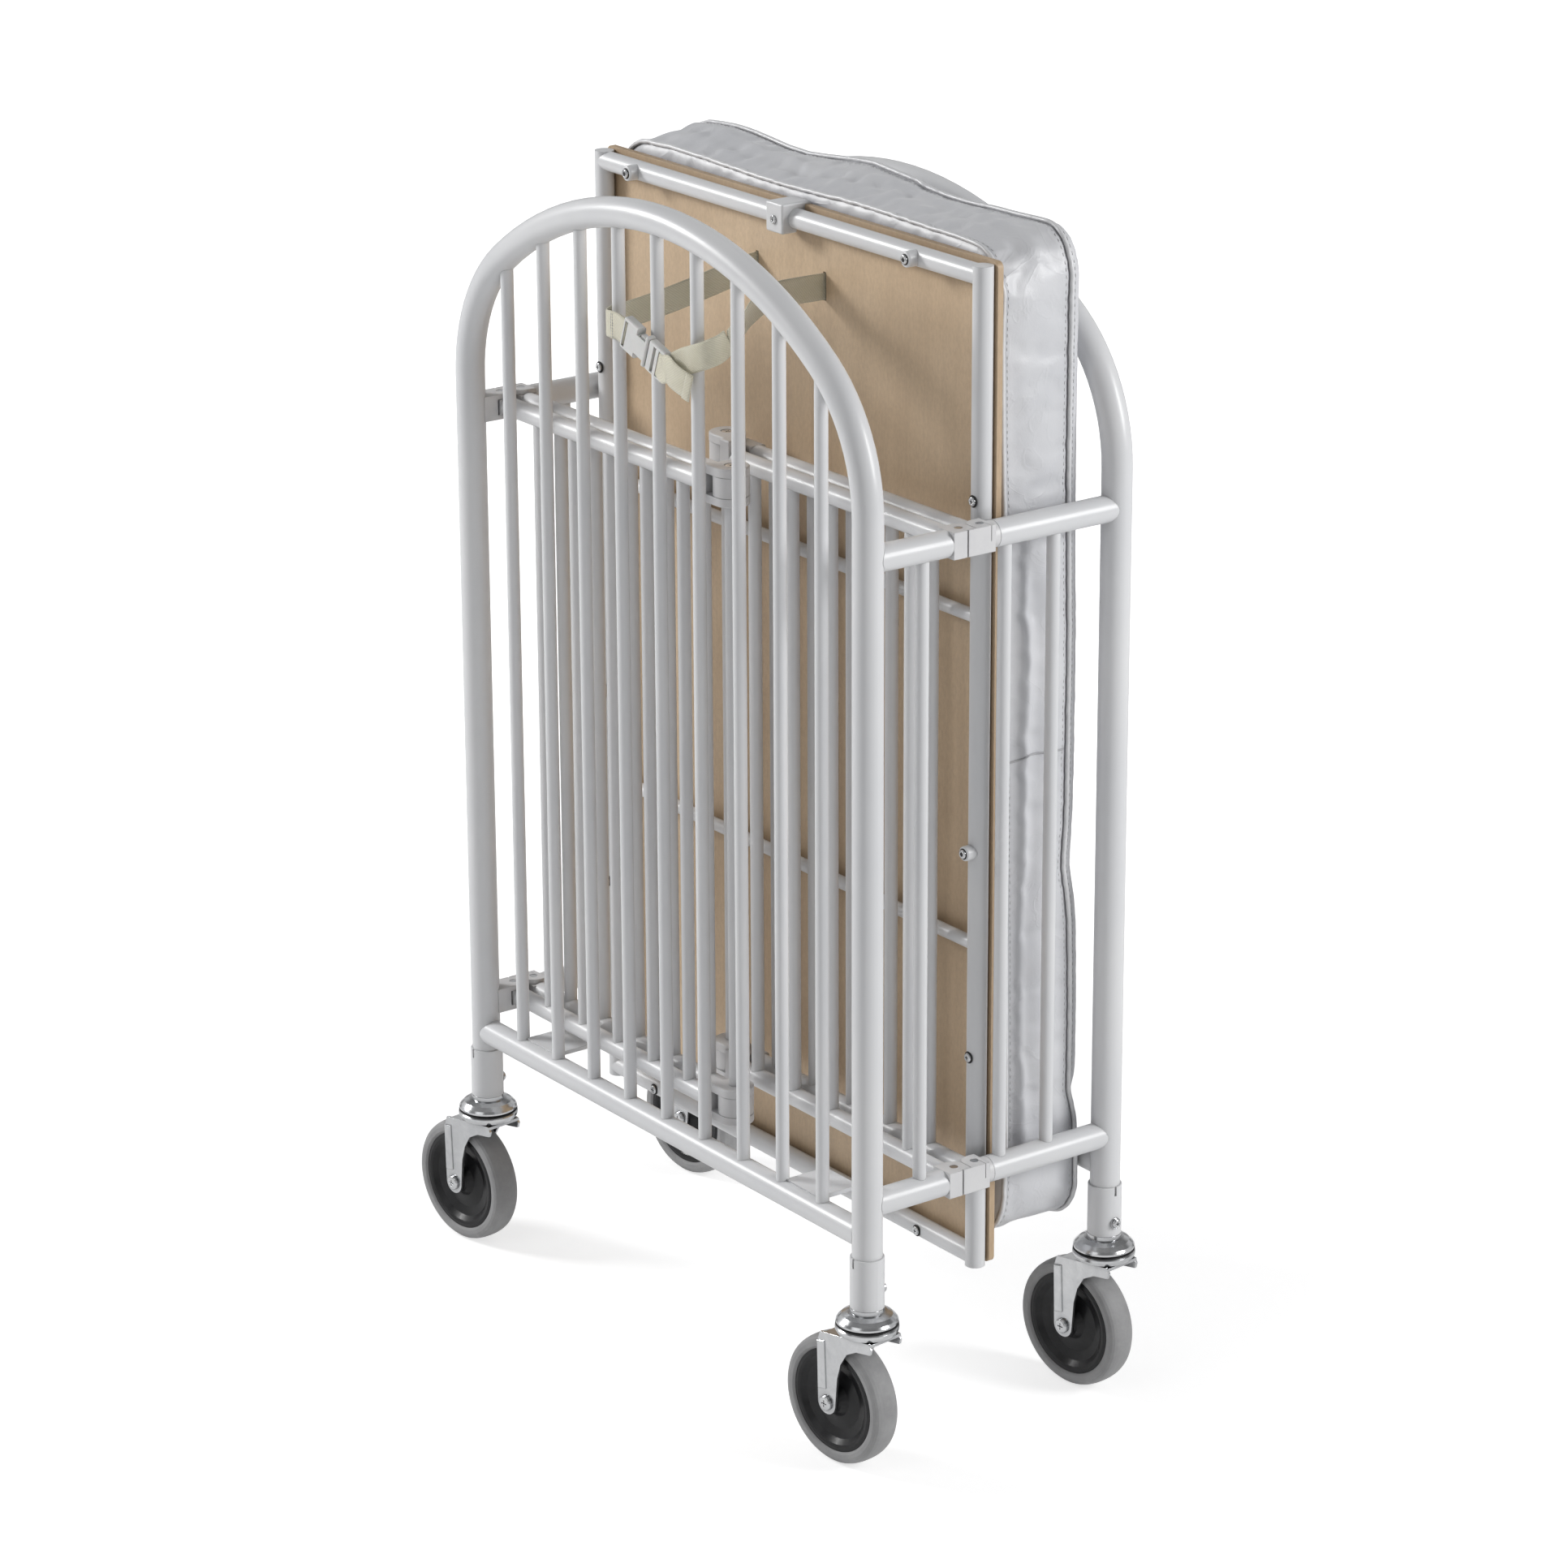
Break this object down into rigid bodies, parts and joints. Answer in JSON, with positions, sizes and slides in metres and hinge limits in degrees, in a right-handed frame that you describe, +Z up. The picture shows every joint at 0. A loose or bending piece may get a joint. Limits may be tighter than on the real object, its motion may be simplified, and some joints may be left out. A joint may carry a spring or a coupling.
{
  "type": "folding rollaway crib",
  "caption": "Folding steel crib folded upright on swivel casters, with arched spindle ends, folding sides, hardboard support and vinyl mattress.",
  "frame": {"origin": "middle of the footprint box, on the floor", "axes": "+X across the end frames, +Y from the front end frame to the rear one, +Z up"},
  "size_m": [0.7649, 0.3418, 1.144],
  "materials": {
    "powder_coat": "satin white powder coat",
    "cast_white": "white coated hinge castings",
    "zinc": "bright plated steel",
    "hardboard": "smooth tan hardboard",
    "vinyl": "satin white vinyl cover",
    "webbing": "woven olive-beige webbing",
    "buckle": "white moulded plastic",
    "tread": "non-marking grey rubber",
    "wheel_core": "black moulded plastic"
  },
  "bodies": {
    "front_frame": {"front_arch": "powder_coat", "front_crossbar": "powder_coat", "front_spindles": "powder_coat", "front_rest_tabs": "powder_coat", "front_leg_sleeves": "powder_coat", "front_sleeve_screws": "zinc", "front_standoff_rails": "powder_coat", "front_hinge_brackets": "cast_white", "front_hinge_pins": "zinc", "front_caster_races": "zinc", "strap_wrap": "webbing", "buckle_socket": "buckle"},
    "left_front_half": {"left_front_rails": "powder_coat", "left_front_spindles": "powder_coat", "left_front_knuckles": "cast_white", "left_centre_pins": "zinc"},
    "left_rear_half": {"left_rear_rails": "powder_coat", "left_rear_spindles": "powder_coat", "left_rear_knuckles": "cast_white"},
    "rear_frame": {"rear_arch": "powder_coat", "rear_crossbar": "powder_coat", "rear_spindles": "powder_coat", "rear_rest_tabs": "powder_coat", "rear_leg_sleeves": "powder_coat", "rear_screws": "zinc", "rear_standoff_rails": "powder_coat", "rear_hinge_brackets": "cast_white", "rear_hinge_pins": "zinc", "rear_caster_races": "zinc", "board_frame": "powder_coat", "board_rungs": "powder_coat", "hardboard": "hardboard", "board_fittings": "powder_coat", "strap_runs": "webbing"},
    "right_front_half": {"right_front_rails": "powder_coat", "right_front_spindles": "powder_coat", "right_front_knuckles": "cast_white", "right_centre_pins": "zinc"},
    "right_rear_half": {"right_rear_rails": "powder_coat", "right_rear_spindles": "powder_coat", "right_rear_knuckles": "cast_white"},
    "mattress": {"mattress": "vinyl"},
    "buckle_plug": {"buckle_plug": "buckle", "strap_tail": "webbing"},
    "caster_fl": {"caster_fl_fork": "zinc", "caster_fl_axle": "zinc"},
    "wheel_fl": {"caster_fl_core": "wheel_core", "caster_fl_tyre": "tread"},
    "caster_fr": {"caster_fr_fork": "zinc", "caster_fr_axle": "zinc"},
    "wheel_fr": {"caster_fr_core": "wheel_core", "caster_fr_tyre": "tread"},
    "caster_rl": {"caster_rl_fork": "zinc", "caster_rl_axle": "zinc"},
    "wheel_rl": {"caster_rl_core": "wheel_core", "caster_rl_tyre": "tread"},
    "caster_rr": {"caster_rr_fork": "zinc", "caster_rr_axle": "zinc"},
    "wheel_rr": {"caster_rr_core": "wheel_core", "caster_rr_tyre": "tread"}
  },
  "joints": [
    {"name": "fold", "type": "hinge", "parent": "front_frame", "child": "left_front_half", "pos_m": [-0.28572, -0.107, 0.5755], "axis": [0, 0, 1], "range_deg": [0, 90]},
    {"name": "left_middle_hinge", "type": "hinge", "parent": "left_front_half", "child": "left_rear_half", "pos_m": [0.08228, -0.095, 0.5755], "axis": [0, 0, 1], "range_deg": [-180, 0]},
    {"name": "left_rear_hinge", "type": "hinge", "parent": "left_rear_half", "child": "rear_frame", "pos_m": [-0.28572, -0.083, 0.5755], "axis": [0, 0, 1], "range_deg": [0, 90]},
    {"name": "right_front_hinge", "type": "hinge", "parent": "front_frame", "child": "right_front_half", "pos_m": [0.35228, -0.041, 0.5755], "axis": [0, 0, 1], "range_deg": [-90, 0]},
    {"name": "right_middle_hinge", "type": "hinge", "parent": "right_front_half", "child": "right_rear_half", "pos_m": [-0.01572, -0.029, 0.5755], "axis": [0, 0, 1], "range_deg": [0, 180]},
    {"name": "mattress_lift", "type": "slide", "parent": "rear_frame", "child": "mattress", "axis": [0, 0, 1], "range_m": [0, 0.98]},
    {"name": "buckle_release", "type": "slide", "parent": "front_frame", "child": "buckle_plug", "axis": [0.944, 0, -0.33], "range_m": [0, 0.022]},
    {"name": "swivel_fl", "type": "hinge", "parent": "front_frame", "child": "caster_fl", "pos_m": [-0.28572, -0.141, 0.145], "axis": [0, 0, 1], "continuous": true},
    {"name": "roll_fl", "type": "hinge", "parent": "caster_fl", "child": "wheel_fl", "pos_m": [-0.319, -0.14485, 0.0635], "axis": [0.1149, -0.9934, 0], "continuous": true},
    {"name": "swivel_fr", "type": "hinge", "parent": "front_frame", "child": "caster_fr", "pos_m": [0.35228, -0.141, 0.145], "axis": [0, 0, 1], "continuous": true},
    {"name": "roll_fr", "type": "hinge", "parent": "caster_fr", "child": "wheel_fr", "pos_m": [0.319, -0.14485, 0.0635], "axis": [0.1149, -0.9934, 0], "continuous": true},
    {"name": "swivel_rl", "type": "hinge", "parent": "rear_frame", "child": "caster_rl", "pos_m": [-0.28572, 0.141, 0.145], "axis": [0, 0, 1], "continuous": true},
    {"name": "roll_rl", "type": "hinge", "parent": "caster_rl", "child": "wheel_rl", "pos_m": [-0.319, 0.13715, 0.0635], "axis": [0.1149, -0.9934, 0], "continuous": true},
    {"name": "swivel_rr", "type": "hinge", "parent": "rear_frame", "child": "caster_rr", "pos_m": [0.35228, 0.141, 0.145], "axis": [0, 0, 1], "continuous": true},
    {"name": "roll_rr", "type": "hinge", "parent": "caster_rr", "child": "wheel_rr", "pos_m": [0.319, 0.13715, 0.0635], "axis": [0.1149, -0.9934, 0], "continuous": true}
  ],
  "couplings": [
    {"joint": "left_middle_hinge", "follows": "fold", "ratio": -2},
    {"joint": "left_rear_hinge", "follows": "fold", "ratio": 1},
    {"joint": "right_front_hinge", "follows": "fold", "ratio": -1},
    {"joint": "right_middle_hinge", "follows": "fold", "ratio": 2}
  ]
}
